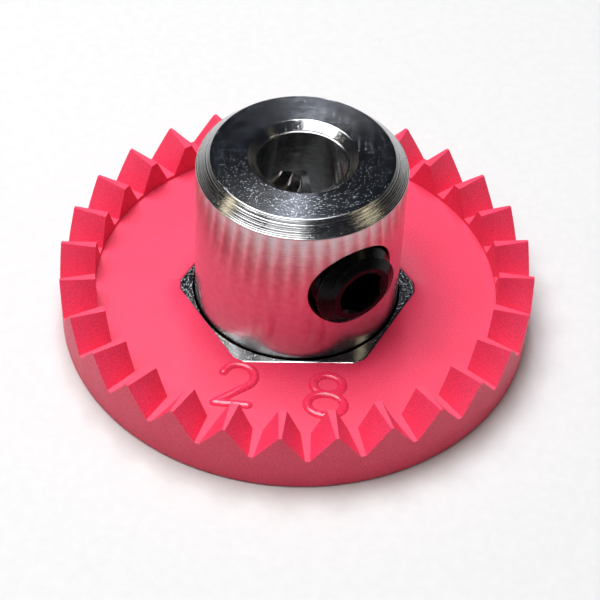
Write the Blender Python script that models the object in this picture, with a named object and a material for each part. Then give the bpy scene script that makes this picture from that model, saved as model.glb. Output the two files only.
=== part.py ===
"""Crown gear: a moulded nylon face gear on a turned aluminium hub, with one set screw.

Metres, +Z up. The origin is on the bore's axis at the gear's back face. +Z runs towards the
hub's nose, and -Y is the direction in which the set screw backs out.
"""

import math

import bmesh
import bpy
from mathutils import Matrix, Vector

MM = 0.001

# Gear: the disc and its teeth.
TOOTH_COUNT = 28
GEAR_RADIUS = 8.70 * MM
TOOTH_LENGTH = 1.29 * MM  # from the inner ends to the rim
TOOTH_DEPTH = 1.11 * MM
TOOTH_STEP = 0.15 * MM  # how far the tooth gaps' floor stands above the web
CREST_INNER_WIDTH = 0.29 * MM
CREST_OUTER_WIDTH = 0.09 * MM
GAP_INNER_WIDTH = 0.36 * MM  # the gap's floor
GAP_OUTER_WIDTH = 0.20 * MM
TOOTH_TURN = math.radians(3.6)  # first tooth, from the screw's direction
WEB_HEIGHT = 1.30 * MM  # the web's face above the back face
RIM_TAPER = 0.05 * MM
RIM_EDGE = 0.12 * MM
INNER_WALL_DRAFT = 0.03 * MM

# Hub: one turned piece from hexagonal bar.
HUB_RADIUS = 3.75 * MM
HUB_LENGTH = 7.62 * MM
HUB_CHAMFER = 0.50 * MM
BORE_RADIUS = 1.59 * MM
COUNTERSINK_WIDTH = 0.36 * MM
COUNTERSINK_DEPTH = 0.27 * MM
FLANGE_LEDGE = 0.20 * MM  # how far the bar's flats lie outside the cylinder
FLANGE_CORNER = 0.47 * MM  # how far the turned corners stand outside the flats
FLANGE_THICKNESS = 0.70 * MM
FLANGE_SUNK = 0.10 * MM  # how far the flange's face lies below the web
FLANGE_CORNER_CHAMFER = 0.06 * MM
BOSS_RADIUS = 3.20 * MM
BOSS_CHAMFER = 0.15 * MM
GROOVE_WIDTH = 0.12 * MM
GROOVE_DEPTH = 0.25 * MM
FOOT_BEVEL = 0.07 * MM

# Set screw and the cross hole that it sits in.
SCREW_RADIUS = 1.56 * MM
SCREW_LENGTH = 2.38 * MM
SCREW_PITCH = 0.635 * MM
SCREW_THREAD_DEPTH = 0.30 * MM
SCREW_FACE_RADIUS = 1.09 * MM
FACE_CHAMFER = 0.16 * MM
TIP_CHAMFER = 0.14 * MM
SCREW_TIP_CLEARANCE = 0.22 * MM  # from the bore's wall, as supplied
SCREW_FROM_NOSE = 3.12 * MM  # its axis, below the hub's nose
SOCKET_ACROSS_FLATS = 1.5875 * MM
SOCKET_DEPTH = 1.10 * MM
CUP_RADIUS = 0.70 * MM
CUP_DEPTH = 0.35 * MM
HOLE_CLEARANCE = 0.04 * MM
FAR_HOLE_RADIUS = 1.15 * MM  # the same hole beyond the bore, where the tap only starts to cut

# Raised numerals of the tooth count.
NUMERAL_STROKE_RADIUS = 0.20 * MM
NUMERAL_RELIEF = 0.13 * MM
NUMERAL_TURN = math.radians(-36.3)
NUMERAL_FROM_TEETH = 1.08 * MM  # the numerals' foot, from the teeth's inner ends
NUMERAL_FROM_FLANGE = 0.49 * MM  # the numerals' head, from the flange's flat
TWO_LEFT = -2.32 * MM
TWO_RAISED = 0.14 * MM  # how far the two's foot stands above the eight's
EIGHT_CENTRE = 1.57 * MM
TWO_WIDTH_SHARE = 0.75  # this and the shares below are of the numerals' height
TWO_BOW_SHARE = 0.31  # the bow's radius
TWO_FOOT_SHARE = 0.85  # the foot's length, of the two's width
EIGHT_LOWER_WIDTH_SHARE = 0.69
EIGHT_UPPER_WIDTH_SHARE = 0.55
EIGHT_UPPER_SHARE = 0.47  # how tall the upper ring is

MOULDING_GAP = 0.02 * MM  # left between the nylon and the hub

# Sizes and places that follow from those above.
TOOTH_INNER_RADIUS = GEAR_RADIUS - TOOTH_LENGTH
FLANGE_ACROSS_FLATS = 2 * (HUB_RADIUS + FLANGE_LEDGE)
FLANGE_TURNED_RADIUS = FLANGE_ACROSS_FLATS / 2 + FLANGE_CORNER
FLANGE_HEIGHT = WEB_HEIGHT - FLANGE_SUNK
FLANGE_BOTTOM = FLANGE_HEIGHT - FLANGE_THICKNESS
GAP_HEIGHT = WEB_HEIGHT + TOOTH_STEP
TIP_HEIGHT = GAP_HEIGHT + TOOTH_DEPTH
TOOTH_PITCH_ANGLE = 2 * math.pi / TOOTH_COUNT
SCREW_AXIS_HEIGHT = HUB_LENGTH - SCREW_FROM_NOSE
SCREW_TIP_Y = -(BORE_RADIUS + SCREW_TIP_CLEARANCE)
NUMERAL_BASELINE = -(TOOTH_INNER_RADIUS - NUMERAL_FROM_TEETH)
NUMERAL_HEIGHT = -NUMERAL_BASELINE - FLANGE_ACROSS_FLATS / 2 - NUMERAL_FROM_FLANGE
CUT_MARGIN = 0.30 * MM  # how far a cutter runs past what it cuts

# Facets of the round shapes.
GEAR_SEGMENTS = 6 * TOOTH_COUNT
HUB_SEGMENTS = 96
SCREW_SEGMENTS = 48
STROKE_SIDES = 8


def clear_scene():
    for item in list(bpy.data.objects):
        bpy.data.objects.remove(item)


def finish_material(name, colour, roughness, metallic):
    made = bpy.data.materials.new(name)
    made.use_nodes = True
    shader = made.node_tree.nodes["Principled BSDF"]
    shader.inputs["Base Color"].default_value = (*colour, 1.0)
    shader.inputs["Roughness"].default_value = roughness
    shader.inputs["Metallic"].default_value = metallic
    return made


def object_from(name, shape, material=None):
    """Links the bmesh as an object and frees it."""
    mesh = bpy.data.meshes.new(name)
    shape.to_mesh(mesh)
    shape.free()
    made = bpy.data.objects.new(name, mesh)
    bpy.context.scene.collection.objects.link(made)
    if material:
        mesh.materials.append(material)
        mesh.shade_smooth()
        mesh.set_sharp_from_angle(angle=math.radians(25))
    return made


def cutter_from(name, shape):
    made = object_from(name, shape)
    made.hide_render = True
    made.display_type = "WIRE"
    return made


def add_boolean(target, tool, operation):
    step = target.modifiers.new(f"{operation.lower()}_{tool.name}", "BOOLEAN")
    step.operation = operation
    step.solver = "EXACT"
    step.object = tool


def turned(outline, segments):
    """An outline of (radius, height) points, spun once round Z. It closes itself or ends on the axis."""
    shape = bmesh.new()
    corners = [shape.verts.new((radius, 0, height)) for radius, height in outline]
    pairs = list(zip(corners, corners[1:]))
    if outline[0][0] > 0:
        pairs.append((corners[-1], corners[0]))
    sides = [shape.edges.new(pair) for pair in pairs]
    bmesh.ops.spin(
        shape, geom=corners + sides, cent=(0, 0, 0), axis=(0, 0, 1),
        angle=2 * math.pi, steps=segments, use_merge=True,
    )
    on_axis = [v for v in shape.verts if math.hypot(v.co.x, v.co.y) < 1e-9]
    bmesh.ops.remove_doubles(shape, verts=on_axis, dist=1e-8)
    bmesh.ops.recalc_face_normals(shape, faces=shape.faces)
    return shape


def hexagonal_prism(across_flats, low, high):
    """A prism round Z with a corner towards -Y."""
    corner_radius = across_flats / math.sqrt(3)
    shape = bmesh.new()
    bmesh.ops.create_cone(
        shape, cap_ends=True, segments=6, depth=high - low, radius1=corner_radius, radius2=corner_radius,
    )
    shape.verts.ensure_lookup_table()
    corner = shape.verts[0].co
    turn = Matrix.Rotation(-math.pi / 2 - math.atan2(corner.y, corner.x), 3, "Z")
    bmesh.ops.rotate(shape, verts=shape.verts, matrix=turn)
    bmesh.ops.translate(shape, verts=shape.verts, vec=(0, 0, (low + high) / 2))
    return shape


def lay_along_screw(shape):
    """Turns a shape made round Z so that its +Z points the way the set screw backs out."""
    bmesh.ops.rotate(shape, verts=shape.verts, matrix=Matrix.Rotation(math.pi / 2, 3, "X"))
    return shape


def gap_half_widths(radius):
    """Half the width of a tooth gap at a radius: at its floor and between the crests."""
    along = (radius - TOOTH_INNER_RADIUS) / (GEAR_RADIUS - TOOTH_INNER_RADIUS)
    floor = GAP_INNER_WIDTH + along * (GAP_OUTER_WIDTH - GAP_INNER_WIDTH)
    crest = CREST_INNER_WIDTH + along * (CREST_OUTER_WIDTH - CREST_INNER_WIDTH)
    pitch = 2 * radius * math.tan(TOOTH_PITCH_ANGLE / 2)
    return floor / 2, (pitch - crest) / 2


def tooth_gaps():
    """One block for each gap: V-shaped up to the crests, and upright above them."""
    shape = bmesh.new()
    for number in range(TOOTH_COUNT):
        turn = Matrix.Rotation(-math.pi / 2 + TOOTH_TURN + (number + 0.5) * TOOTH_PITCH_ANGLE, 3, "Z")
        corners = []
        for radius in (TOOTH_INNER_RADIUS - CUT_MARGIN, GEAR_RADIUS + CUT_MARGIN):
            floor, opening = gap_half_widths(radius)
            for half_width, height in (
                (floor, GAP_HEIGHT), (opening, TIP_HEIGHT), (opening, TIP_HEIGHT + CUT_MARGIN),
            ):
                corners.append(Vector((radius, half_width, height)))
                corners.append(Vector((radius, -half_width, height)))
        block = [shape.verts.new(turn @ corner) for corner in corners]
        bmesh.ops.convex_hull(shape, input=block)
    return shape


def gear_outline():
    """The disc up to the teeth's crests, before the gaps are cut."""
    return [
        (BOSS_RADIUS + MOULDING_GAP, 0),
        (GEAR_RADIUS - RIM_TAPER - RIM_EDGE, 0),
        (GEAR_RADIUS - RIM_TAPER - RIM_EDGE * 0.3, RIM_EDGE * 0.3),
        (GEAR_RADIUS - RIM_TAPER, RIM_EDGE),
        (GEAR_RADIUS, GAP_HEIGHT),
        (GEAR_RADIUS, TIP_HEIGHT),
        (TOOTH_INNER_RADIUS + INNER_WALL_DRAFT, TIP_HEIGHT),
        (TOOTH_INNER_RADIUS, WEB_HEIGHT),
        (BOSS_RADIUS + MOULDING_GAP, WEB_HEIGHT),
    ]


def flange_pocket():
    """The flange's own shape, larger by the moulding gap and open above."""
    grown = FLANGE_TURNED_RADIUS + MOULDING_GAP
    shape = turned(
        [
            (0, FLANGE_BOTTOM - MOULDING_GAP),
            (grown, FLANGE_BOTTOM - MOULDING_GAP),
            (grown, WEB_HEIGHT + CUT_MARGIN),
            (0, WEB_HEIGHT + CUT_MARGIN),
        ],
        HUB_SEGMENTS,
    )
    pocket = cutter_from("flange_pocket_cutter", shape)
    hexagon = cutter_from(
        "flange_pocket_hexagon",
        hexagonal_prism(FLANGE_ACROSS_FLATS + 2 * MOULDING_GAP, -CUT_MARGIN, WEB_HEIGHT + 2 * CUT_MARGIN),
    )
    add_boolean(pocket, hexagon, "INTERSECT")
    return pocket


def bead(name, points, closed):
    """A rounded moulded stroke: a tube along the points, which lies mostly in the web."""
    shape = bmesh.new()
    height = WEB_HEIGHT + NUMERAL_RELIEF - NUMERAL_STROKE_RADIUS
    path = [Vector((across, up, height)) for across, up in points]
    rings = []
    for number, point in enumerate(path):
        before = path[number - 1] if closed or number > 0 else point
        after = path[(number + 1) % len(path)] if closed or number < len(path) - 1 else point
        along = (after - before).normalized()
        sideways = along.cross(Vector((0, 0, 1)))
        ring = []
        for side in range(STROKE_SIDES):
            angle = 2 * math.pi * (side + 0.5) / STROKE_SIDES
            offset = sideways * math.cos(angle) + Vector((0, 0, math.sin(angle)))
            ring.append(shape.verts.new(point + offset * NUMERAL_STROKE_RADIUS))
        rings.append(ring)
    joined = list(zip(rings, rings[1:]))
    if closed:
        joined.append((rings[-1], rings[0]))
    else:
        shape.faces.new(rings[0])
        shape.faces.new(rings[-1])
    for first, second in joined:
        for side in range(STROKE_SIDES):
            ahead = (side + 1) % STROKE_SIDES
            shape.faces.new((first[side], first[ahead], second[ahead], second[side]))
    bmesh.ops.recalc_face_normals(shape, faces=shape.faces)
    bmesh.ops.rotate(shape, verts=shape.verts, matrix=Matrix.Rotation(NUMERAL_TURN, 3, "Z"))
    return cutter_from(name, shape)


def arc(centre, half_width, half_height, start, end, steps):
    """Points on an ellipse between two angles in degrees."""
    angles = [math.radians(start + (end - start) * i / steps) for i in range(steps + 1)]
    return [
        (centre[0] + half_width * math.cos(a), centre[1] + half_height * math.sin(a)) for a in angles
    ]


def numeral_two():
    """The bow with its slanting stroke, and the foot."""
    width = NUMERAL_HEIGHT * TWO_WIDTH_SHARE
    bow_radius = NUMERAL_HEIGHT * TWO_BOW_SHARE
    baseline = NUMERAL_BASELINE + TWO_RAISED
    bow_centre = (TWO_LEFT + width / 2, baseline + NUMERAL_HEIGHT - bow_radius)
    bow = arc(bow_centre, bow_radius, bow_radius, 160, -40, 13)
    bow.append((TWO_LEFT, baseline))
    foot = [
        (TWO_LEFT - NUMERAL_STROKE_RADIUS / 2, baseline),
        (TWO_LEFT + width * TWO_FOOT_SHARE, baseline),
    ]
    return [bead("numeral_two_bow", bow, False), bead("numeral_two_foot", foot, False)]


def numeral_eight():
    """Two rings, one on top of the other."""
    waist = NUMERAL_BASELINE + NUMERAL_HEIGHT * (1 - EIGHT_UPPER_SHARE)
    top = NUMERAL_BASELINE + NUMERAL_HEIGHT
    rings = []
    for name, width_share, low, high in (
        ("numeral_eight_lower", EIGHT_LOWER_WIDTH_SHARE, NUMERAL_BASELINE, waist),
        ("numeral_eight_upper", EIGHT_UPPER_WIDTH_SHARE, waist, top),
    ):
        centre = (EIGHT_CENTRE, (low + high) / 2)
        points = arc(centre, NUMERAL_HEIGHT * width_share / 2, (high - low) / 2, 0, 360, 20)
        rings.append(bead(name, points[:-1], True))
    return rings


def build_crown_gear():
    nylon = finish_material("pink_nylon", (1.0, 0.10, 0.20), 0.45, 0.0)
    gear = object_from("crown_gear", turned(gear_outline(), GEAR_SEGMENTS), nylon)
    add_boolean(gear, cutter_from("tooth_gap_cutter", tooth_gaps()), "DIFFERENCE")
    add_boolean(gear, flange_pocket(), "DIFFERENCE")
    for stroke in numeral_two() + numeral_eight():
        add_boolean(gear, stroke, "UNION")
    return gear


def hub_outline():
    """The turned hub before its flange is made hexagonal and its cross hole is drilled."""
    neck = HUB_RADIUS - FOOT_BEVEL
    groove = HUB_RADIUS + GROOVE_WIDTH
    return [
        (BORE_RADIUS + COUNTERSINK_WIDTH, 0),
        (BOSS_RADIUS - BOSS_CHAMFER, 0),
        (BOSS_RADIUS, BOSS_CHAMFER),
        (BOSS_RADIUS, FLANGE_BOTTOM),
        (FLANGE_TURNED_RADIUS, FLANGE_BOTTOM),
        (FLANGE_TURNED_RADIUS, FLANGE_HEIGHT - FLANGE_CORNER_CHAMFER),
        (FLANGE_TURNED_RADIUS - FLANGE_CORNER_CHAMFER, FLANGE_HEIGHT),
        (groove, FLANGE_HEIGHT),
        (groove, FLANGE_HEIGHT - GROOVE_DEPTH),
        (neck, FLANGE_HEIGHT - GROOVE_DEPTH),
        (neck, FLANGE_HEIGHT - FOOT_BEVEL / 2),
        (HUB_RADIUS, FLANGE_HEIGHT + FOOT_BEVEL / 2),
        (HUB_RADIUS, HUB_LENGTH - HUB_CHAMFER),
        (HUB_RADIUS - HUB_CHAMFER, HUB_LENGTH),
        (BORE_RADIUS + COUNTERSINK_WIDTH, HUB_LENGTH),
        (BORE_RADIUS, HUB_LENGTH - COUNTERSINK_DEPTH),
        (BORE_RADIUS, COUNTERSINK_DEPTH),
    ]


def cross_hole():
    """The hole through both walls: at the thread's outer size where the screw slides, smaller beyond."""
    radius = SCREW_RADIUS + HOLE_CLEARANCE
    reach = HUB_RADIUS + CUT_MARGIN
    shape = turned(
        [
            (0, -reach), (FAR_HOLE_RADIUS, -reach), (FAR_HOLE_RADIUS, 0), (radius, 0),
            (radius, reach), (0, reach),
        ],
        SCREW_SEGMENTS,
    )
    hole = cutter_from("cross_hole_cutter", lay_along_screw(shape))
    hole.location = (0, 0, SCREW_AXIS_HEIGHT)
    return hole


def build_hub():
    aluminium = finish_material("turned_aluminium", (0.72, 0.73, 0.75), 0.25, 1.0)
    hub = object_from("hub", turned(hub_outline(), HUB_SEGMENTS), aluminium)
    bar = hexagonal_prism(FLANGE_ACROSS_FLATS, -CUT_MARGIN, HUB_LENGTH + CUT_MARGIN)
    add_boolean(hub, cutter_from("hexagonal_bar", bar), "INTERSECT")
    add_boolean(hub, cross_hole(), "DIFFERENCE")
    return hub


def screw_outline():
    """The screw from its tip (height 0) to its face, with a ring for each turn of the thread."""
    root = SCREW_RADIUS - SCREW_THREAD_DEPTH
    flat = SCREW_PITCH / 8  # of the thread's crests and roots
    outline = [(0, CUP_DEPTH), (CUP_RADIUS, 0), (root - TIP_CHAMFER, 0), (root, TIP_CHAMFER)]
    height = TIP_CHAMFER + flat
    while height + SCREW_PITCH < SCREW_LENGTH - FACE_CHAMFER:
        outline.append((root, height + flat / 2))
        outline.append((SCREW_RADIUS, height + SCREW_PITCH / 2 - flat / 2))
        outline.append((SCREW_RADIUS, height + SCREW_PITCH / 2 + flat / 2))
        outline.append((root, height + SCREW_PITCH - flat / 2))
        height += SCREW_PITCH
    outline.append((SCREW_FACE_RADIUS + FACE_CHAMFER, SCREW_LENGTH - FACE_CHAMFER))
    outline.append((SCREW_FACE_RADIUS, SCREW_LENGTH))
    outline.append((0, SCREW_LENGTH))
    return outline


def build_set_screw():
    black_oxide = finish_material("black_oxide_steel", (0.02, 0.02, 0.022), 0.35, 0.6)
    shape = lay_along_screw(turned(screw_outline(), SCREW_SEGMENTS))
    screw = object_from("set_screw", shape, black_oxide)
    screw.location = (0, SCREW_TIP_Y, SCREW_AXIS_HEIGHT)
    hexagon = hexagonal_prism(SOCKET_ACROSS_FLATS, SCREW_LENGTH - SOCKET_DEPTH, SCREW_LENGTH + CUT_MARGIN)
    socket = cutter_from("socket_cutter", lay_along_screw(hexagon))
    socket.location = screw.location
    add_boolean(screw, socket, "DIFFERENCE")
    return screw


def main():
    clear_scene()
    build_crown_gear()
    build_hub()
    build_set_screw()


main()
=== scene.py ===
"""Crown gear on its turned hub, with the set screw: the finished surfaces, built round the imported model.

Metres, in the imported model's frame: +Z runs towards the hub's nose and -Y is the way the set
screw backs out. Sizes in millimetres are written as a number times MM.
"""

import math

import bmesh
import bpy
from mathutils import Matrix, Vector


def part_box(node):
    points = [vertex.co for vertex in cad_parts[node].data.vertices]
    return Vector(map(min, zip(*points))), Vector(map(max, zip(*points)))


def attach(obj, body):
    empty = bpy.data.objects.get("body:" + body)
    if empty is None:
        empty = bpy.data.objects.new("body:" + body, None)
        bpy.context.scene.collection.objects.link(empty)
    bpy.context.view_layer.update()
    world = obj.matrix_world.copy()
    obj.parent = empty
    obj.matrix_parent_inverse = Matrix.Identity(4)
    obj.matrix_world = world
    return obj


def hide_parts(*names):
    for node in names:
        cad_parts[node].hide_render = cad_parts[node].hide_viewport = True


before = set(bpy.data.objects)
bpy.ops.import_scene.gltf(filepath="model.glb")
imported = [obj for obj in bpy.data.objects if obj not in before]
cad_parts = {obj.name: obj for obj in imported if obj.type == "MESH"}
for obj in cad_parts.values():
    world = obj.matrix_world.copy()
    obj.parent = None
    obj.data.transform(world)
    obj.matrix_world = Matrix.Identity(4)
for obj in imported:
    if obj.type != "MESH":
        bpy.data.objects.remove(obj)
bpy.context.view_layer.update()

MM = 0.001
MICRON = 0.001 * MM
FULL_TURN = 2 * math.pi

# Sizes that the frame gives.
GEAR_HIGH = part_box("crown_gear")[1]
HUB_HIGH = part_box("hub")[1]
SCREW_LOW, SCREW_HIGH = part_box("set_screw")
GEAR_RADIUS = GEAR_HIGH.x
TIP_HEIGHT = GEAR_HIGH.z
HUB_LENGTH = HUB_HIGH.z
FLANGE_TURNED_RADIUS = HUB_HIGH.y
SCREW_RADIUS = SCREW_HIGH.x
SCREW_LENGTH = SCREW_HIGH.y - SCREW_LOW.y
SCREW_TIP_Y = SCREW_HIGH.y
SCREW_AXIS_HEIGHT = (SCREW_LOW.z + SCREW_HIGH.z) / 2

# Gear.
TOOTH_COUNT = 28
TOOTH_PITCH_ANGLE = FULL_TURN / TOOTH_COUNT
TOOTH_TURN = math.radians(3.6)
TOOTH_LENGTH = 1.29 * MM
TOOTH_DEPTH = 1.11 * MM
CREST_INNER_WIDTH = 0.29 * MM
CREST_OUTER_WIDTH = 0.10 * MM
GAP_INNER_WIDTH = 0.36 * MM
GAP_OUTER_WIDTH = 0.16 * MM
TOOTH_STEP = 0.15 * MM  # how far the gaps' floor stands above the web
RIM_TAPER = 0.05 * MM
RIM_EDGE = 0.16 * MM
TOOTH_INNER_RADIUS = GEAR_RADIUS - TOOTH_LENGTH
GAP_HEIGHT = TIP_HEIGHT - TOOTH_DEPTH
WEB_HEIGHT = GAP_HEIGHT - TOOTH_STEP
FLANK_STEPS = 6
RADIAL_STEPS = 4
TOOTH_EDGE = 0.045 * MM  # the rounding of the teeth's corners

# Hub.
HUB_RADIUS = 3.75 * MM
HUB_CHAMFER = 0.50 * MM
BORE_RADIUS = 1.59 * MM
COUNTERSINK_WIDTH = 0.36 * MM
COUNTERSINK_DEPTH = 0.27 * MM
BORE_STEP = 0.05 * MM  # the small step that the countersink leaves in the bore's mouth
FLANGE_ACROSS_FLATS = 7.90 * MM
FLANGE_HEIGHT = WEB_HEIGHT - 0.05 * MM
FLANGE_THICKNESS = 0.70 * MM
FLANGE_EDGE = 0.07 * MM
BOSS_RADIUS = 3.20 * MM
BOSS_CHAMFER = 0.15 * MM
GROOVE_WIDTH = 0.085 * MM
GROOVE_DEPTH = 0.25 * MM
FOOT_BEVEL = 0.02 * MM
NYLON_LIP = 0.08 * MM  # how far the nylon reaches in over the flange's edge
LIP_EDGE = 0.04 * MM
LIP_SHIFT = Vector((0.02, -0.08, 0)) * MM  # the mould's insert stands a little off the hub's axis
MOULDING_GAP = 0.01 * MM  # left between the nylon and the hub, where the real ones are bonded
MACHINED_EDGE = 0.018 * MM  # how far a turned corner is broken

# Thread of the cross hole and the screw. The screw's crests clear the hole's, so that it slides.
THREAD_PITCH = 0.635 * MM
THREAD_DEPTH = 0.27 * MM
HOLE_CREST_RADIUS = SCREW_RADIUS + 0.03 * MM
HOLE_THREAD_DEPTH = 0.11 * MM
FAR_HOLE_CREST_RADIUS = 1.10 * MM
FAR_HOLE_THREAD_DEPTH = 0.28 * MM
SCREW_FACE_RADIUS = 1.09 * MM
SCREW_FACE_CHAMFER = 0.30 * MM
SOCKET_ACROSS_FLATS = 1.5875 * MM
SOCKET_DEPTH = 1.10 * MM
CUP_RADIUS = 0.70 * MM
CUP_DEPTH = 0.35 * MM

# Raised numerals of the tooth count.
NUMERAL_STROKE_RADIUS = 0.20 * MM
NUMERAL_RELIEF = 0.11 * MM  # how high a stroke stands above the web
NUMERAL_TURN = math.radians(-36.3)
NUMERAL_BASELINE = -6.33 * MM
NUMERAL_HEIGHT = 1.89 * MM
TWO_LEFT = -2.32 * MM
TWO_WIDTH = 1.42 * MM
TWO_FOOT = 1.18 * MM
TWO_RAISED = 0.14 * MM
EIGHT_CENTRE = 1.57 * MM

# Colours, and the sizes of what the surfaces show.
NYLON_DEEP = "#EC355B"
NYLON_LIGHT = "#F33D64"
NYLON_GRAIN = "#D42C50"
NYLON_SPECK = "#C42040"
NYLON_CLOUD = 1.6 * MM
NYLON_SPECK_SPACING = 0.14 * MM
ALUMINIUM_DULL = "#BCBDBE"
ALUMINIUM_BRIGHT = "#CCCDCE"
# Painted shade: the near black painted into the barrel's groove and on the screw's side of the cross hole.
PAINTED_SHADE_BLACK = "#1C1614"
OXIDE_BLACK = "#030304"
OXIDE_GREY = "#0A090B"
PAPER_DARK = "#D2D2D2"
PAPER_LIGHT = "#D6D6D6"
FINE_GRAIN = 0.05 * MM
RING_SPACING = 0.09 * MM
RING_DRIFT = 1.5 * MM
RING_DEPTH = 0.003 * MM
CHATTER_DEPTH = 0.028 * MM
DENT_SIZE = 0.07 * MM
FACE_WEAR = 0.004 * MM
FLANGE_WEAR = 0.010 * MM
SMEAR_SIZE = 0.25 * MM
OIL_FILM = 0.3 * MM
PAPER_FIBRE = 0.4 * MM
WARM_LIGHT = "#FFF0C8"
COOL_LIGHT = "#E4ECFF"

# Camera: where it stands round the gear, how far from its aim, and how it is tilted.
CAMERA_TURN = math.radians(-33.5)
CAMERA_RISE = math.radians(45.30)
CAMERA_ROLL = math.radians(3.29)
CAMERA_DISTANCE = 76.15 * MM
CAMERA_AIM = Vector((0.148, -0.098, 0.478)) * MM
LENS = 122.3
SENSOR = 36.0
LIGHT_DISTANCE = 160 * MM

BODY = "gear_and_hub"

# Bends above these angles, in degrees, stay sharp in the shading. Turned metal's faces have to shade flat.
SHARP_ON_METAL = 7
SHARP_ON_NYLON = 35
SHARP_ON_BEADS = 80


# ---- Shape helpers


def turned(outline, segments):
    """An outline of (radius, height) points, spun once round Z. It closes itself or ends on the axis."""
    shape = bmesh.new()
    corners = [shape.verts.new((radius, 0, height)) for radius, height in outline]
    pairs = list(zip(corners, corners[1:]))
    if outline[0][0] > 0:
        pairs.append((corners[-1], corners[0]))
    sides = [shape.edges.new(pair) for pair in pairs]
    bmesh.ops.spin(
        shape, geom=corners + sides, cent=(0, 0, 0), axis=(0, 0, 1),
        angle=FULL_TURN, steps=segments, use_merge=True,
    )
    on_axis = [v for v in shape.verts if math.hypot(v.co.x, v.co.y) < MICRON]
    bmesh.ops.remove_doubles(shape, verts=on_axis, dist=MICRON / 10)
    bmesh.ops.recalc_face_normals(shape, faces=shape.faces)
    return shape


def round_edges(shape, edges, offset, segments=3):
    bmesh.ops.bevel(
        shape, geom=list(edges), offset=offset, offset_type="OFFSET", affect="EDGES",
        segments=segments, profile=0.5, material=-1, clamp_overlap=True,
    )


def sharp_edges(shape, angle):
    """The edges whose two faces meet at more than an angle."""
    return [e for e in shape.edges if len(e.link_faces) == 2 and e.calc_face_angle() > angle]


def hexagonal_prism(across_flats, low, high):
    """A prism round Z with a corner towards -Y."""
    corner_radius = across_flats / math.sqrt(3)
    shape = bmesh.new()
    bmesh.ops.create_cone(
        shape, cap_ends=True, segments=6, depth=high - low, radius1=corner_radius, radius2=corner_radius,
    )
    shape.verts.ensure_lookup_table()
    corner = shape.verts[0].co
    turn = Matrix.Rotation(-math.pi / 2 - math.atan2(corner.y, corner.x), 3, "Z")
    bmesh.ops.rotate(shape, verts=shape.verts, matrix=turn)
    bmesh.ops.translate(shape, verts=shape.verts, vec=(0, 0, (low + high) / 2))
    return shape


def threaded_rod(root_radius, crest_radius, low, high, segments):
    """A right-hand screw thread round Z, cut off square at both ends."""
    flat = THREAD_PITCH / 8
    turns = math.ceil((high - low) / THREAD_PITCH) + 2
    shape = bmesh.new()
    line = []
    for number in range(turns):
        start = low - THREAD_PITCH + number * THREAD_PITCH
        for radius, rise in (
            (root_radius, 0), (root_radius, flat), (crest_radius, THREAD_PITCH / 2),
            (crest_radius, THREAD_PITCH / 2 + flat),
        ):
            line.append(shape.verts.new((radius, 0, start + rise)))
    sides = [shape.edges.new(pair) for pair in zip(line, line[1:])]
    bmesh.ops.spin(
        shape, geom=line + sides, cent=(0, 0, 0), axis=(0, 0, 1), dvec=(0, 0, THREAD_PITCH / segments),
        angle=FULL_TURN, steps=segments, use_merge=False,
    )
    bmesh.ops.remove_doubles(shape, verts=shape.verts, dist=MICRON)
    for height, keep in ((low, 1), (high, -1)):
        everything = shape.verts[:] + shape.edges[:] + shape.faces[:]
        cut = bmesh.ops.bisect_plane(
            shape, geom=everything, plane_co=(0, 0, height), plane_no=(0, 0, keep),
            clear_inner=True, dist=MICRON / 10,
        )
        rim = [e for e in cut["geom_cut"] if isinstance(e, bmesh.types.BMEdge)]
        bmesh.ops.edgeloop_fill(shape, edges=rim)
    bmesh.ops.recalc_face_normals(shape, faces=shape.faces)
    return shape


def lay_along_screw(shape, along=0):
    """Turns a shape made round Z so that its +Z points the way the set screw backs out."""
    bmesh.ops.rotate(shape, verts=shape.verts, matrix=Matrix.Rotation(math.pi / 2, 3, "X"))
    bmesh.ops.translate(shape, verts=shape.verts, vec=(0, along, SCREW_AXIS_HEIGHT))
    return shape


def object_from(name, shape):
    mesh = bpy.data.meshes.new(name)
    shape.to_mesh(mesh)
    shape.free()
    made = bpy.data.objects.new(name, mesh)
    bpy.context.scene.collection.objects.link(made)
    return made


def settle(made):
    """Applies an object's modifiers."""
    bpy.context.view_layer.update()
    evaluated = made.evaluated_get(bpy.context.evaluated_depsgraph_get())
    mesh = bpy.data.meshes.new_from_object(evaluated)
    made.modifiers.clear()
    made.data = mesh


def combine(made, operation, tool_shape):
    """Cuts, joins or intersects an object with a shape."""
    tool = object_from("tool", tool_shape)
    step = made.modifiers.new("combine", "BOOLEAN")
    step.operation = operation
    step.solver = "EXACT"
    step.object = tool
    settle(made)
    bpy.data.objects.remove(tool)


def finish_piece(made, material, body, sharp_angle=SHARP_ON_METAL):
    """Shades a piece smooth between its sharp edges, and gives it its material and body."""
    mesh = made.data
    mesh.materials.clear()
    mesh.materials.append(material)
    mesh.shade_smooth()
    mesh.set_sharp_from_angle(angle=math.radians(sharp_angle))
    normals = made.modifiers.new("even_shading", "WEIGHTED_NORMAL")
    normals.keep_sharp = True
    normals.weight = 60
    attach(made, body)
    return made


# ---- Nylon gear


def tooth_contour(radius):
    """(arc from the tooth's middle, height) along one tooth at a radius, gap middle to gap middle."""
    along = (radius - TOOTH_INNER_RADIUS) / TOOTH_LENGTH
    half_floor = (GAP_INNER_WIDTH + along * (GAP_OUTER_WIDTH - GAP_INNER_WIDTH)) / 2
    half_crest = (CREST_INNER_WIDTH + along * (CREST_OUTER_WIDTH - CREST_INNER_WIDTH)) / 2
    half_pitch = radius * TOOTH_PITCH_ANGLE / 2
    right = [(half_crest, TIP_HEIGHT)]
    for step in range(1, FLANK_STEPS + 1):
        share = step / FLANK_STEPS
        arc = half_crest + share * (half_pitch - half_floor - half_crest)
        right.append((arc, TIP_HEIGHT - share * TOOTH_DEPTH))
    right.append((half_pitch, GAP_HEIGHT))
    left = [(-arc, height) for arc, height in reversed(right)]
    return left + right


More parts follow.
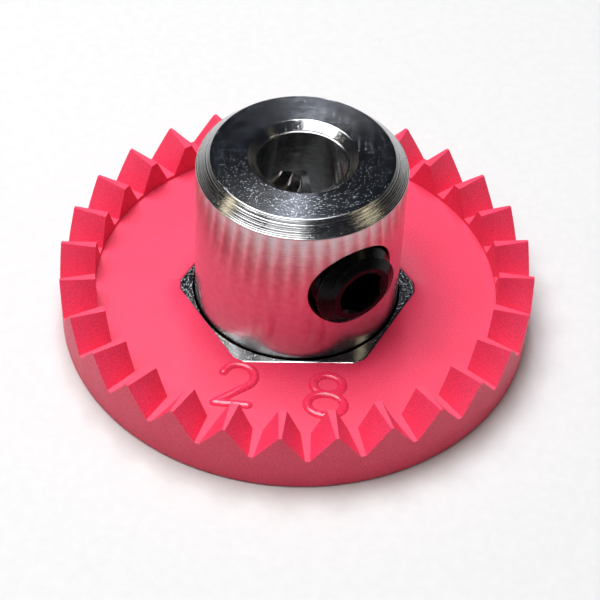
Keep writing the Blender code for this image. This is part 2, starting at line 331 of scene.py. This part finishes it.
def tooth_stations():
    """(radius, how high) for each row across a tooth, from the web over the tooth to the back edge.

    How high is None where the row follows the tooth's contour."""
    rows = [(TOOTH_INNER_RADIUS, WEB_HEIGHT)]
    for step in range(RADIAL_STEPS + 1):
        rows.append((TOOTH_INNER_RADIUS + TOOTH_LENGTH * step / RADIAL_STEPS, None))
    wall_radius = GEAR_RADIUS - RIM_TAPER
    for degrees in (0, 30, 60, 90):
        turn = math.radians(degrees)
        inset = RIM_EDGE * (1 - math.cos(turn))
        rows.append((wall_radius - inset, RIM_EDGE * 0.6 * (1 - math.sin(turn))))
    return rows


def tooth_sector():
    """One tooth with half a gap on each side, from the web's edge over the rim to the back edge."""
    stations = tooth_stations()
    columns = len(tooth_contour(TOOTH_INNER_RADIUS))
    shape = bmesh.new()
    bmesh.ops.create_grid(shape, x_segments=len(stations) - 1, y_segments=columns - 1, size=1)
    for corner in shape.verts:
        row = round((corner.co.x + 1) / 2 * (len(stations) - 1))
        column = round((corner.co.y + 1) / 2 * (columns - 1))
        radius, height = stations[row]
        arc, contour_height = tooth_contour(min(max(radius, TOOTH_INNER_RADIUS), GEAR_RADIUS))[column]
        angle = arc / max(radius, TOOTH_INNER_RADIUS)
        if column in (0, columns - 1):
            angle = math.copysign(TOOTH_PITCH_ANGLE / 2, arc)
        up = contour_height if height is None else height
        corner.co = (radius * math.cos(angle), radius * math.sin(angle), up)
    # The flanks twist by less than this from facet to facet; only real corners are rounded.
    corners = [e for e in sharp_edges(shape, math.radians(28)) if e.calc_length() > MICRON]
    round_edges(shape, corners, TOOTH_EDGE)
    return shape


def loop_at(shape, height):
    """The open edges that lie at a height."""
    return [
        e for e in shape.edges
        if e.is_boundary and all(abs(v.co.z - height) < MICRON for v in e.verts)
    ]


def extend_inwards(shape, edges, radius):
    """Extrudes a round open edge to a smaller radius."""
    made = bmesh.ops.extrude_edge_only(shape, edges=edges)["geom"]
    corners = [v for v in made if isinstance(v, bmesh.types.BMVert)]
    for corner in corners:
        flat = Vector((corner.co.x, corner.co.y, 0)).normalized() * radius
        corner.co.x, corner.co.y = flat.x, flat.y
    return [e for e in made if isinstance(e, bmesh.types.BMEdge)]


def flange_pocket(grown, low, high, edge):
    """The hub's flange made larger by a length, between two heights, with its upper edge rounded."""
    radius = FLANGE_TURNED_RADIUS + grown
    pocket = object_from("pocket", turned([(0, low), (radius, low), (radius, high), (0, high)], 192))
    combine(pocket, "INTERSECT", hexagonal_prism(FLANGE_ACROSS_FLATS + 2 * grown, -MM, 2 * TIP_HEIGHT))
    shape = bmesh.new()
    shape.from_mesh(pocket.data)
    bpy.data.objects.remove(pocket)
    bmesh.ops.remove_doubles(shape, verts=shape.verts, dist=MICRON)
    if edge:
        flare_rim(shape, high, edge)
    return shape


def flare_rim(shape, height, edge):
    """Opens a cutter outwards at its top, so that the rim it leaves is rounded, and carries it on up."""
    top = [f for f in shape.faces if all(abs(v.co.z - height) < MICRON for v in f.verts)]
    for rise_share, out_share in ((0.35, 0.10), (0.30, 0.30), (0.35, 0.60), (2.0, 0.0)):
        made = bmesh.ops.extrude_face_region(shape, geom=top)["geom"]
        bmesh.ops.delete(shape, geom=top, context="FACES_ONLY")
        corners = [g for g in made if isinstance(g, bmesh.types.BMVert)]
        for corner in corners:
            reach = max(math.hypot(corner.co.x, corner.co.y), MM)  # a corner on the axis stays on it
            corner.co.x *= 1 + edge * out_share / reach
            corner.co.y *= 1 + edge * out_share / reach
            corner.co.z += edge * rise_share
        top = [g for g in made if isinstance(g, bmesh.types.BMFace)]
    bmesh.ops.recalc_face_normals(shape, faces=shape.faces)


def make_gear():
    shape = tooth_sector()
    bmesh.ops.rotate(
        shape, verts=shape.verts, matrix=Matrix.Rotation(TOOTH_TURN - math.pi / 2, 3, "Z"),
    )
    bmesh.ops.spin(
        shape, geom=shape.verts[:] + shape.edges[:] + shape.faces[:], cent=(0, 0, 0), axis=(0, 0, 1),
        angle=FULL_TURN - TOOTH_PITCH_ANGLE, steps=TOOTH_COUNT - 1, use_duplicate=True,
    )
    bmesh.ops.remove_doubles(shape, verts=shape.verts, dist=2 * MICRON)
    hole_radius = BOSS_RADIUS + MOULDING_GAP
    past_flange = FLANGE_TURNED_RADIUS + 0.6 * MM
    web_rim = extend_inwards(shape, loop_at(shape, WEB_HEIGHT), past_flange)
    web_rim = extend_inwards(shape, web_rim, hole_radius)
    back_rim = extend_inwards(shape, loop_at(shape, 0), hole_radius)
    bmesh.ops.bridge_loops(shape, edges=web_rim + back_rim)
    bmesh.ops.recalc_face_normals(shape, faces=shape.faces)
    gear = object_from("nylon_gear", shape)
    floor = FLANGE_HEIGHT - FLANGE_THICKNESS - MOULDING_GAP
    combine(gear, "DIFFERENCE", flange_pocket(MOULDING_GAP, floor, FLANGE_HEIGHT + MOULDING_GAP, 0))
    opening = flange_pocket(-NYLON_LIP, FLANGE_HEIGHT - 0.2 * MM, WEB_HEIGHT - LIP_EDGE, LIP_EDGE)
    bmesh.ops.translate(opening, verts=opening.verts, vec=LIP_SHIFT)
    combine(gear, "DIFFERENCE", opening)
    return gear


# ---- Numerals


def arc(centre, half_width, half_height, start, end, steps):
    """Points on an ellipse between two angles in degrees."""
    angles = [math.radians(start + (end - start) * i / steps) for i in range(steps + 1)]
    across, up = centre
    return [(across + half_width * math.cos(a), up + half_height * math.sin(a)) for a in angles]


def numeral_strokes():
    """Each numeral's strokes as (points, whether the stroke closes on itself).

    The two is a bow that runs down into its foot; the eight is two rings that meet at its waist."""
    top = NUMERAL_BASELINE + NUMERAL_HEIGHT
    bow = NUMERAL_HEIGHT * 0.30
    two_foot_height = NUMERAL_BASELINE + TWO_RAISED
    two_bow = arc((TWO_LEFT + TWO_WIDTH / 2, top + TWO_RAISED - bow), bow, bow, 165, -40, 24)
    two_bow.append((TWO_LEFT, two_foot_height))
    two_foot = [(TWO_LEFT, two_foot_height), (TWO_LEFT + TWO_FOOT, two_foot_height)]
    waist = NUMERAL_BASELINE + NUMERAL_HEIGHT * 0.53
    rings = []
    for width, low, high in ((1.30 * MM, NUMERAL_BASELINE, waist), (1.04 * MM, waist, top)):
        centre = (EIGHT_CENTRE, (low + high) / 2)
        rings.append((arc(centre, width / 2, (high - low) / 2, 0, 360, 40)[:-1], True))
    return {"numeral_two": [(two_bow, False), (two_foot, False)], "numeral_eight": rings}


def stroke_shape(points, closed, scale):
    """A round bead along the points, with round ends."""
    line = bpy.data.curves.new("stroke", "CURVE")
    line.dimensions = "3D"
    line.bevel_depth = NUMERAL_STROKE_RADIUS * scale
    line.bevel_resolution = 6
    line.use_fill_caps = not closed
    spline = line.splines.new("POLY")
    spline.points.add(len(points) - 1)
    for slot, (across, up) in zip(spline.points, points):
        slot.co = (across * scale, up * scale, 0, 1)
    spline.use_cyclic_u = closed
    guide = bpy.data.objects.new("stroke", line)
    bpy.context.scene.collection.objects.link(guide)
    settled = bpy.data.meshes.new_from_object(guide)
    bpy.data.objects.remove(guide)
    shape = bmesh.new()
    shape.from_mesh(settled)
    if not closed:
        for across, up in (points[0], points[-1]):
            place = Matrix.Translation((across * scale, up * scale, 0))
            bmesh.ops.create_icosphere(
                shape, subdivisions=3, radius=NUMERAL_STROKE_RADIUS * scale, matrix=place,
            )
    return shape


def make_numeral(name, strokes):
    """Melts the strokes of one numeral into one smooth bead that stands on the web."""
    scale = 1 / MM  # the voxel grid can't be finer than a tenth of a millimetre, so it works enlarged
    joined = bmesh.new()
    for points, closed in strokes:
        part = stroke_shape(points, closed, scale)
        mesh = bpy.data.meshes.new("part")
        part.to_mesh(mesh)
        part.free()
        joined.from_mesh(mesh)
    bead = object_from(name, joined)
    melt = bead.modifiers.new("melt", "REMESH")
    melt.mode = "VOXEL"
    melt.voxel_size = 0.022
    settle(bead)
    shape = bmesh.new()
    shape.from_mesh(bead.data)
    for _ in range(4):
        bmesh.ops.smooth_vert(
            shape, verts=shape.verts, factor=0.5, use_axis_x=True, use_axis_y=True, use_axis_z=True,
        )
    bmesh.ops.scale(shape, vec=(1 / scale,) * 3, verts=shape.verts)
    height = WEB_HEIGHT + NUMERAL_RELIEF - NUMERAL_STROKE_RADIUS
    bmesh.ops.translate(shape, verts=shape.verts, vec=(0, 0, height))
    bmesh.ops.rotate(shape, verts=shape.verts, matrix=Matrix.Rotation(NUMERAL_TURN, 3, "Z"))
    shape.to_mesh(bead.data)
    shape.free()
    return bead


# ---- Hub


def barrel_outline():
    """The turned hub without its flange, from the back countersink round to the bore."""
    neck = HUB_RADIUS - FOOT_BEVEL
    shoulder = FLANGE_HEIGHT - GROOVE_DEPTH - 0.1 * MM  # out of sight in the flange
    return [
        (BORE_RADIUS + COUNTERSINK_WIDTH, 0),
        (BOSS_RADIUS - BOSS_CHAMFER, 0),
        (BOSS_RADIUS, BOSS_CHAMFER),
        (BOSS_RADIUS, shoulder),
        (neck, shoulder),
        (neck, FLANGE_HEIGHT - FOOT_BEVEL / 2),
        (HUB_RADIUS, FLANGE_HEIGHT + FOOT_BEVEL / 2),
        (HUB_RADIUS, HUB_LENGTH - HUB_CHAMFER),
        (HUB_RADIUS - HUB_CHAMFER, HUB_LENGTH),
        (BORE_RADIUS + COUNTERSINK_WIDTH, HUB_LENGTH),
        (BORE_RADIUS + BORE_STEP, HUB_LENGTH - COUNTERSINK_DEPTH * 0.85),
        (BORE_RADIUS + BORE_STEP, HUB_LENGTH - COUNTERSINK_DEPTH),
        (BORE_RADIUS, HUB_LENGTH - COUNTERSINK_DEPTH),
        (BORE_RADIUS, COUNTERSINK_DEPTH),
    ]


def make_barrel():
    shape = turned(barrel_outline(), 192)
    round_edges(shape, sharp_edges(shape, math.radians(20)), MACHINED_EDGE, 2)
    barrel = object_from("hub_barrel", shape)
    reach = HUB_RADIUS + 0.5 * MM
    for crest, depth, low, high in (
        (HOLE_CREST_RADIUS, HOLE_THREAD_DEPTH, 0, reach),
        (FAR_HOLE_CREST_RADIUS, FAR_HOLE_THREAD_DEPTH, -reach, 0),
    ):
        hole = threaded_rod(crest, crest + depth, low, high, 96)
        combine(barrel, "DIFFERENCE", lay_along_screw(hole))
    return barrel


def make_flange():
    """The hexagonal flange: bar stock with turned corners, relieved where the barrel's groove is."""
    low = FLANGE_HEIGHT - FLANGE_THICKNESS
    inner = HUB_RADIUS + GROOVE_WIDTH
    under = BOSS_RADIUS - 0.1 * MM
    shape = turned(
        [
            (under, low), (FLANGE_TURNED_RADIUS, low), (FLANGE_TURNED_RADIUS, FLANGE_HEIGHT),
            (inner, FLANGE_HEIGHT), (inner, FLANGE_HEIGHT - GROOVE_DEPTH),
            (under, FLANGE_HEIGHT - GROOVE_DEPTH),
        ],
        192,
    )
    flange = object_from("hub_flange", shape)
    combine(flange, "INTERSECT", hexagonal_prism(FLANGE_ACROSS_FLATS, -MM, HUB_LENGTH))
    shape = bmesh.new()
    shape.from_mesh(flange.data)
    bmesh.ops.remove_doubles(shape, verts=shape.verts, dist=MICRON)
    rim = [
        e for e in sharp_edges(shape, math.radians(60))
        if all(abs(v.co.z - FLANGE_HEIGHT) < MICRON for v in e.verts)
        and all(math.hypot(v.co.x, v.co.y) > inner + 0.05 * MM for v in e.verts)
    ]
    round_edges(shape, rim, FLANGE_EDGE, 2)
    shape.to_mesh(flange.data)
    shape.free()
    return flange


# ---- Set screw


def make_screw():
    root_radius = SCREW_RADIUS - THREAD_DEPTH
    rod = threaded_rod(root_radius, SCREW_RADIUS, 0, SCREW_LENGTH, 72)
    screw = object_from("socket_set_screw", rod)
    slope = SCREW_RADIUS - SCREW_FACE_RADIUS
    clear = SCREW_RADIUS + 0.1 * MM
    envelope = turned(
        [
            (0, CUP_DEPTH), (CUP_RADIUS, 0), (root_radius - 0.14 * MM, 0), (clear, 0.52 * MM),
            (clear, SCREW_LENGTH - SCREW_FACE_CHAMFER - 0.06 * MM),
            (SCREW_FACE_RADIUS + slope, SCREW_LENGTH - SCREW_FACE_CHAMFER),
            (SCREW_FACE_RADIUS, SCREW_LENGTH), (0, SCREW_LENGTH),
        ],
        96,
    )
    combine(screw, "INTERSECT", envelope)
    socket = hexagonal_prism(SOCKET_ACROSS_FLATS, SCREW_LENGTH - SOCKET_DEPTH, SCREW_LENGTH + MM)
    combine(screw, "DIFFERENCE", socket)
    lead_low = SCREW_LENGTH - 0.10 * MM
    lead_high = SCREW_LENGTH + 0.02 * MM
    lead_radius = SOCKET_ACROSS_FLATS / math.sqrt(3) + 0.02 * MM
    lead_in = turned(
        [(0, lead_low), (SOCKET_ACROSS_FLATS / 2, lead_low), (lead_radius, lead_high), (0, lead_high)],
        96,
    )
    combine(screw, "DIFFERENCE", lead_in)
    shape = bmesh.new()
    shape.from_mesh(screw.data)
    lay_along_screw(shape, SCREW_TIP_Y)
    shape.to_mesh(screw.data)
    shape.free()
    return screw


# ---- Materials


def linear(code):
    """An sRGB hex colour as linear values."""
    parts = [int(code[i:i + 2], 16) / 255 for i in (1, 3, 5)]
    return (*(p / 12.92 if p <= 0.04045 else ((p + 0.055) / 1.055) ** 2.4 for p in parts), 1.0)


def new_material(name):
    made = bpy.data.materials.new(name)
    made.use_nodes = True
    return made, made.node_tree, made.node_tree.nodes["Principled BSDF"]


def add(tree, kind, inputs=(), stops=(), **settings):
    """Adds a node with its settings.

    Inputs are pairs of a socket and a value or another node's output. Stops are a ramp's pairs of a
    place and a value or hex colour."""
    made = tree.nodes.new("ShaderNode" + kind)
    for name, value in settings.items():
        setattr(made, name, value)
    for key, value in inputs:
        if isinstance(value, bpy.types.NodeSocket):
            tree.links.new(value, made.inputs[key])
        else:
            made.inputs[key].default_value = value
    if stops:
        steps = made.color_ramp.elements
        while len(steps) < len(stops):
            steps.new(0.5)
        for step, (place, value) in zip(steps, stops):
            step.position = place
            step.color = linear(value) if isinstance(value, str) else (value, value, value, 1)
    return made


def nylon_material(name, low_roughness, high_roughness):
    """Pink moulded nylon, satin from an eroded mould: soft, slightly translucent and faintly grained.

    The grain is drawn about twice as coarse as such a mould's, so that it shows."""
    made, tree, shader = new_material(name)
    place = add(tree, "TexCoord").outputs["Object"]
    cloud = add(
        tree, "TexNoise", [("Vector", place), ("Scale", 1 / NYLON_CLOUD), ("Detail", 3)],
    ).outputs[0]
    grain = add(tree, "TexNoise", [("Vector", place), ("Scale", 1 / FINE_GRAIN), ("Detail", 2)]).outputs[0]
    blotches = add(
        tree, "TexNoise", [("Vector", place), ("Scale", 1 / NYLON_SPECK_SPACING), ("Detail", 1)],
    ).outputs[0]
    colour = add(tree, "ValToRGB", [(0, cloud)], [(0.3, NYLON_DEEP), (0.7, NYLON_LIGHT)]).outputs[0]
    grain_share = add(tree, "ValToRGB", [(0, grain)], [(0.35, 0.0), (0.65, 0.9)]).outputs[0]
    mottled = add(
        tree, "Mix", [("Factor", grain_share), (6, colour), (7, linear(NYLON_GRAIN))], data_type="RGBA",
    ).outputs[2]
    clear_of_specks = add(tree, "ValToRGB", [(0, blotches)], [(0.18, 0.0), (0.21, 1.0)]).outputs[0]
    tint = add(
        tree, "Mix", [("Factor", clear_of_specks), (6, linear(NYLON_SPECK)), (7, mottled)], data_type="RGBA",
    ).outputs[2]
    tree.links.new(tint, shader.inputs["Base Color"])
    dull = add(tree, "ValToRGB", [(0, grain)], [(0.2, low_roughness), (0.8, high_roughness)]).outputs[0]
    tree.links.new(dull, shader.inputs["Roughness"])
    soft = add(tree, "Bump", [("Height", cloud), ("Distance", 0.010 * MM), ("Strength", 0.5)])
    fine = add(
        tree, "Bump",
        [("Height", grain), ("Distance", 0.009 * MM), ("Strength", 0.6), ("Normal", soft.outputs[0])],
    )
    tree.links.new(fine.outputs[0], shader.inputs["Normal"])
    shader.inputs["IOR"].default_value = 1.53
    shader.inputs["Subsurface Weight"].default_value = 0.12
    shader.inputs["Subsurface Radius"].default_value = (1.0, 0.25, 0.35)
    shader.inputs["Subsurface Scale"].default_value = 0.25 * MM
    return made


def turned_relief(tree, place, radius, height, on_side, wear):
    """The rings that the turning tool left, and on the faces the dents of handling.

    The rings are drawn about twice as far apart as the tool's feed, so that they show."""
    drift = add(tree, "TexNoise", [("Vector", place), ("Scale", 1 / RING_DRIFT), ("Detail", 2)]).outputs[0]
    travel = add(tree, "Math", [(0, radius), (1, height)], operation="SUBTRACT").outputs[0]
    uneven = add(
        tree, "Math", [(0, drift), (1, 0.05 * MM), (2, travel)], operation="MULTIPLY_ADD",
    ).outputs[0]
    rings = add(
        tree, "TexNoise", [("W", uneven), ("Scale", 1 / RING_SPACING), ("Detail", 3)],
        noise_dimensions="1D",
    ).outputs[0]
    # Where radius and height add up to the chamfer's, the tool chattered and left deeper rings.
    spread = add(tree, "Math", [(0, radius), (1, height)], operation="ADD").outputs[0]
    on_chamfer = add(
        tree, "Math", [(0, spread), (1, HUB_RADIUS + HUB_LENGTH - HUB_CHAMFER), (2, 0.03 * MM)],
        operation="COMPARE",
    ).outputs[0]
    depth = add(
        tree, "Math", [(0, on_chamfer), (1, CHATTER_DEPTH), (2, RING_DEPTH)], operation="MULTIPLY_ADD",
    ).outputs[0]
    ringed = add(tree, "Bump", [("Height", rings), ("Distance", depth), ("Strength", 0.6)]).outputs[0]
    blotches = add(
        tree, "TexNoise", [("Vector", place), ("Scale", 1 / DENT_SIZE), ("Detail", 3)],
    ).outputs[0]
    spots = add(tree, "ValToRGB", [(0, blotches)], [(0.60, 0.0), (0.75, 1.0)]).outputs[0]
    on_face = add(tree, "Math", [(0, 1.0), (1, on_side)], operation="SUBTRACT").outputs[0]
    dents = add(tree, "Math", [(0, spots), (1, on_face)], operation="MULTIPLY").outputs[0]
    return add(
        tree, "Bump", [("Height", dents), ("Distance", wear), ("Strength", 0.6), ("Normal", ringed)],
    ).outputs[0]


def blackened(tree, place, along, radius, height):
    """Painted shade: a mask of where the metal is painted near black to stand in for shade, in the groove at
    the barrel's foot and on the screw's side of the hole.
    """
    in_groove = add(
        tree, "Math", [(0, height), (1, FLANGE_HEIGHT - 0.015 * MM)], operation="LESS_THAN",
    ).outputs[0]
    axis_point = (0, 0, SCREW_AXIS_HEIGHT)
    from_axis = add(tree, "VectorMath", [(0, place), (1, axis_point)], operation="SUBTRACT").outputs[0]
    beside_axis = add(
        tree, "VectorMath", [(0, from_axis), (1, (1, 0, 1))], operation="MULTIPLY",
    ).outputs[0]
    off_axis = add(tree, "VectorMath", [(0, beside_axis)], operation="LENGTH").outputs["Value"]
    hole_radius = HOLE_CREST_RADIUS + HOLE_THREAD_DEPTH + MICRON
    in_hole = add(tree, "Math", [(0, off_axis), (1, hole_radius)], operation="LESS_THAN").outputs[0]
    screw_side = add(tree, "Math", [(0, along), (1, -BORE_RADIUS / 2)], operation="LESS_THAN").outputs[0]
    in_screw_hole = add(tree, "Math", [(0, in_hole), (1, screw_side)], operation="MULTIPLY").outputs[0]
    past_bore = add(
        tree, "Math", [(0, radius), (1, BORE_RADIUS + 0.01 * MM)], operation="GREATER_THAN",
    ).outputs[0]
    hole_wall_shade = add(tree, "Math", [(0, in_screw_hole), (1, past_bore)], operation="MULTIPLY").outputs[0]
    return add(tree, "Math", [(0, in_groove), (1, hole_wall_shade)], operation="MAXIMUM").outputs[0]


def aluminium_material(name, wear):
    """Bright turned aluminium. The tool's fine rings spread its reflections across them, so its gloss
    differs along and across the rings. Wear is how deep its dents and scratches are."""
    made, tree, shader = new_material(name)
    place = add(tree, "TexCoord").outputs["Object"]
    split = add(tree, "SeparateXYZ", [(0, place)])
    across, along, height = (split.outputs[axis] for axis in "XYZ")
    flat = add(tree, "CombineXYZ", [("X", across), ("Y", along)]).outputs[0]
    radius = add(tree, "VectorMath", [(0, flat)], operation="LENGTH").outputs["Value"]
    outside = add(
        tree, "Math", [(0, radius), (1, HUB_RADIUS), (2, 0.02 * MM)], operation="COMPARE",
    ).outputs[0]
    in_bore = add(
        tree, "Math", [(0, radius), (1, BORE_RADIUS + 0.03 * MM)], operation="LESS_THAN",
    ).outputs[0]
    on_side = add(tree, "Math", [(0, outside), (1, in_bore)], operation="MAXIMUM").outputs[0]
    relief = turned_relief(tree, place, radius, height, on_side, wear)
    tree.links.new(relief, shader.inputs["Normal"])
    smear = add(tree, "TexNoise", [("Vector", place), ("Scale", 1 / SMEAR_SIZE), ("Detail", 4)]).outputs[0]
    bare_metal = add(tree, "ValToRGB", [(0, smear)], [(0.3, ALUMINIUM_DULL), (0.7, ALUMINIUM_BRIGHT)]).outputs[0]
    # Painted shade: the groove and the walls of the screw's side of the hole are painted near black where
    # shade falls.
    painted_shade_share = blackened(tree, place, along, radius, height)
    with_painted_shade = add(
        tree, "Mix", [("Factor", painted_shade_share), (6, bare_metal), (7, linear(PAINTED_SHADE_BLACK))], data_type="RGBA",
    ).outputs[2]
    tree.links.new(with_painted_shade, shader.inputs["Base Color"])
    faces = add(tree, "ValToRGB", [(0, smear)], [(0.25, 0.13), (0.75, 0.17)]).outputs[0]
    sides = add(tree, "ValToRGB", [(0, smear)], [(0.25, 0.17), (0.75, 0.21)]).outputs[0]
    roughness = add(
        tree, "Mix", [("Factor", on_side), (2, faces), (3, sides)], data_type="FLOAT",
    ).outputs[0]
    tree.links.new(roughness, shader.inputs["Roughness"])
    backwards = add(tree, "Math", [(0, along), (1, -1)], operation="MULTIPLY").outputs[0]
    round_the_axis = add(tree, "CombineXYZ", [("X", backwards), ("Y", across)]).outputs[0]
    turned_over = add(
        tree, "VectorTransform", [(0, round_the_axis)], vector_type="VECTOR",
        convert_from="OBJECT", convert_to="WORLD",
    ).outputs[0]
    tangent = add(tree, "VectorMath", [(0, turned_over)], operation="NORMALIZE").outputs[0]
    tree.links.new(tangent, shader.inputs["Tangent"])
    shader.inputs["Anisotropic"].default_value = 0.85
    shader.inputs["Anisotropic Rotation"].default_value = 0.25
    shader.inputs["Metallic"].default_value = 1.0
    return made


def black_oxide_material():
    """Steel blackened by an oxide bath and oiled: near black, and patchy where the oil lies thicker."""
    made, tree, shader = new_material("black_oxide_steel")
    place = add(tree, "TexCoord").outputs["Object"]
    film = add(tree, "TexNoise", [("Vector", place), ("Scale", 1 / OIL_FILM), ("Detail", 4)]).outputs[0]
    grain = add(tree, "TexNoise", [("Vector", place), ("Scale", 1 / FINE_GRAIN), ("Detail", 2)]).outputs[0]
    black = add(tree, "ValToRGB", [(0, film)], [(0.3, OXIDE_BLACK), (0.75, OXIDE_GREY)]).outputs[0]
    dull = add(tree, "ValToRGB", [(0, film)], [(0.3, 0.18), (0.8, 0.36)]).outputs[0]
    bump = add(tree, "Bump", [("Height", grain), ("Distance", 0.004 * MM), ("Strength", 0.5)]).outputs[0]
    tree.links.new(black, shader.inputs["Base Color"])
    tree.links.new(dull, shader.inputs["Roughness"])
    tree.links.new(bump, shader.inputs["Normal"])
    shader.inputs["Specular IOR Level"].default_value = 0.10
    return made


# ---- Stage


def camera_axes():
    """The unit vectors from the gear to the camera, to the picture's right and up, before its roll."""
    away = Vector((
        math.sin(CAMERA_TURN) * math.cos(CAMERA_RISE),
        -math.cos(CAMERA_TURN) * math.cos(CAMERA_RISE),
        math.sin(CAMERA_RISE),
    ))
    right = Vector((math.cos(CAMERA_TURN), math.sin(CAMERA_TURN), 0))
    return away, right, away.cross(right)


def make_camera():
    away, right, up = camera_axes()
    lens = bpy.data.cameras.new("camera")
    lens.lens = LENS
    lens.sensor_width = SENSOR
    lens.clip_start = MM
    lens.clip_end = 10
    camera = bpy.data.objects.new("camera", lens)
    bpy.context.scene.collection.objects.link(camera)
    rolled_right = right * math.cos(CAMERA_ROLL) + up * math.sin(CAMERA_ROLL)
    rolled_up = up * math.cos(CAMERA_ROLL) - right * math.sin(CAMERA_ROLL)
    turn = Matrix((rolled_right, rolled_up, away)).transposed().to_4x4()
    camera.matrix_world = Matrix.Translation(CAMERA_AIM + away * CAMERA_DISTANCE) @ turn
    bpy.context.scene.camera = camera


def studio_direction(side, rise):
    """A direction: side is the angle round from the camera, to its right, and rise is above the floor."""
    turn = CAMERA_TURN + math.radians(side)
    lift = math.radians(rise)
    level = math.cos(lift)
    return Vector((math.sin(turn) * level, -math.cos(turn) * level, math.sin(lift)))


def make_light(name, side, rise, width, height, radiance, colour="#FFFFFF"):
    """A rectangular softbox that faces the gear; its power follows from how bright it looks."""
    light = bpy.data.lights.new(name, "AREA")
    light.shape = "RECTANGLE"
    light.size = width
    light.size_y = height
    light.energy = radiance * math.pi * width * height
    light.color = linear(colour)[:3]
    lamp = bpy.data.objects.new(name, light)
    bpy.context.scene.collection.objects.link(lamp)
    away = studio_direction(side, rise)
    lamp.location = away * LIGHT_DISTANCE
    lamp.rotation_mode = "QUATERNION"
    lamp.rotation_quaternion = away.to_track_quat("Z", "Y")


def make_floor():
    """A sheet of pale matt paper."""
    made, tree, shader = new_material("pale_paper")
    place = add(tree, "TexCoord").outputs["Object"]
    fibres = add(
        tree, "TexNoise", [("Vector", place), ("Scale", 1 / PAPER_FIBRE), ("Detail", 3)],
    ).outputs[0]
    pale = add(tree, "ValToRGB", [(0, fibres)], [(0.3, PAPER_DARK), (0.7, PAPER_LIGHT)]).outputs[0]
    tree.links.new(pale, shader.inputs["Base Color"])
    shader.inputs["Roughness"].default_value = 0.9
    shader.inputs["Specular IOR Level"].default_value = 0.1
    shape = bmesh.new()
    bmesh.ops.create_grid(shape, x_segments=1, y_segments=1, size=2)
    bmesh.ops.translate(shape, verts=shape.verts, vec=(0, 0, -0.01 * MM))
    floor = object_from("floor", shape)
    floor.data.materials.append(made)


def make_world():
    """A dim room, lightest low down and least so level with the floor."""
    world = bpy.data.worlds.new("studio")
    bpy.context.scene.world = world
    world.use_nodes = True
    tree = world.node_tree
    toward = add(tree, "TexCoord").outputs["Generated"]
    height = add(tree, "SeparateXYZ", [(0, toward)]).outputs["Z"]
    shade = add(
        tree, "ValToRGB", [(0, height)],
        [(0.0, "#5C554B"), (0.30, "#403E3C"), (0.5, "#1B1D22"), (1.0, "#1E2129")],
    ).outputs[0]
    background = tree.nodes["Background"]
    tree.links.new(shade, background.inputs["Color"])
    background.inputs["Strength"].default_value = 1.0


def make_studio():
    make_camera()
    make_world()
    make_floor()
    make_light("overhead_light", -110, 77, 130 * MM, 118 * MM, 8.2)
    make_light("back_strip", 183, 64, 12 * MM, 44 * MM, 19.0, COOL_LIGHT)
    make_light("front_light", -14, 47, 90 * MM, 58 * MM, 0.95)
    make_light("left_light", -82, 32, 24 * MM, 56 * MM, 2.4, WARM_LIGHT)
    make_light("right_light", 78, 32, 24 * MM, 56 * MM, 2.4, WARM_LIGHT)


# ---- Put together


def main():
    nylon = nylon_material("moulded_pink_nylon", 0.45, 0.6)
    polished_nylon = nylon_material("nylon_from_the_polished_engraving", 0.05, 0.09)
    aluminium = aluminium_material("turned_aluminium", FACE_WEAR)
    rough_aluminium = aluminium_material("rough_faced_aluminium", FLANGE_WEAR)
    black_oxide = black_oxide_material()
    gear = finish_piece(make_gear(), nylon, BODY, SHARP_ON_NYLON)
    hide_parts("crown_gear")
    for name, strokes in numeral_strokes().items():
        numeral = make_numeral(name, strokes)
        finish_piece(numeral, polished_nylon, BODY, SHARP_ON_BEADS)
    barrel = finish_piece(make_barrel(), aluminium, BODY)
    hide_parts("hub")
    finish_piece(make_flange(), rough_aluminium, BODY)
    screw = finish_piece(make_screw(), black_oxide, "screw")
    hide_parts("set_screw")
    make_studio()
    bpy.context.scene.view_settings.view_transform = "Standard"


main()
